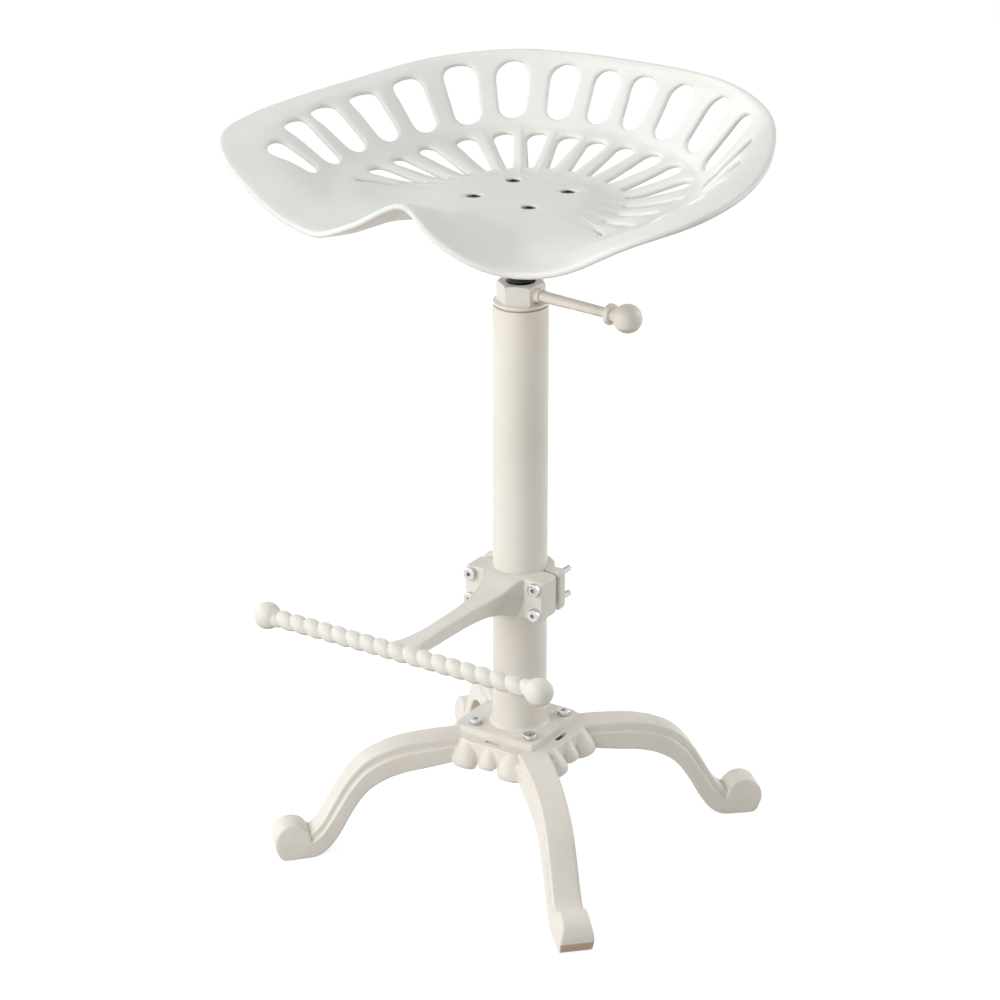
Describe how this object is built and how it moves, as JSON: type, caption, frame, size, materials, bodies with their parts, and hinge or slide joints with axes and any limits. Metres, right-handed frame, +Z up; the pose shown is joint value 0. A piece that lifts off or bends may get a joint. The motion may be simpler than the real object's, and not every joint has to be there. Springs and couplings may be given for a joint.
{
  "type": "tractor seat stool",
  "caption": "Cast tractor-seat stool on a screw-lift column with a lever lock nut, a clamped twisted-bar footrest and scroll-footed cast base.",
  "frame": {"origin": "on the floor, under the middle of the overall box", "axes": "+Z up along the column, -Y out over the footrest where the sitter's legs go, +X towards the lock lever"},
  "size_m": [0.496, 0.3748, 0.6949],
  "materials": {
    "seat_paint": "cool white satin paint over a lightly uneven casting",
    "frame_paint": "warm off-white gloss paint over cast iron and steel tube",
    "footrest_paint": "off-white satin paint over a casting",
    "zinc": "bright zinc plate",
    "black_steel": "dark oiled steel",
    "guide_plastic": "matte moulded plastic"
  },
  "bodies": {
    "column": {"base_casting": "frame_paint", "column_flange": "frame_paint", "base_screw_1": "zinc", "base_screw_2": "zinc", "base_screw_3": "zinc", "base_screw_4": "zinc", "column_tube": "frame_paint", "column_collar": "frame_paint"},
    "guide": {"spindle_guide": "guide_plastic"},
    "seat": {"spindle": "black_steel", "guide_nut": "zinc", "seat_plate": "black_steel", "seat": "seat_paint", "seat_screw_1": "black_steel", "seat_screw_2": "black_steel", "seat_screw_3": "black_steel", "seat_screw_4": "black_steel", "seat_nut_1": "zinc", "seat_nut_2": "zinc", "seat_nut_3": "zinc", "seat_nut_4": "zinc"},
    "lock": {"lock_nut": "frame_paint", "lever_rod": "frame_paint", "lever_knob": "frame_paint"},
    "footrest": {"footrest_casting": "footrest_paint", "footrest_rear_clamp": "footrest_paint", "clamp_screw_1": "zinc", "clamp_screw_2": "zinc", "clamp_screw_3": "zinc", "clamp_screw_4": "zinc"}
  },
  "joints": [
    {"name": "seat_lift", "type": "slide", "parent": "column", "child": "guide", "axis": [0, 0, 1], "range_m": [-0.04, 0.1]},
    {"name": "seat_turn", "type": "hinge", "parent": "guide", "child": "seat", "pos_m": [0.00373, 0.01441, 0.6], "axis": [0, 0, 1], "range_deg": [-2390, 5990]},
    {"name": "lock_turn", "type": "hinge", "parent": "column", "child": "lock", "pos_m": [0.00373, 0.01441, 0.5255], "axis": [0, 0, 1], "range_deg": [0, 90]},
    {"name": "footrest_slide", "type": "slide", "parent": "column", "child": "footrest", "axis": [0, 0, 1], "range_m": [-0.08, 0.2]}
  ],
  "couplings": [
    {"joint": "seat_lift", "follows": "seat_turn", "m_per_rad": 0.00095493}
  ]
}
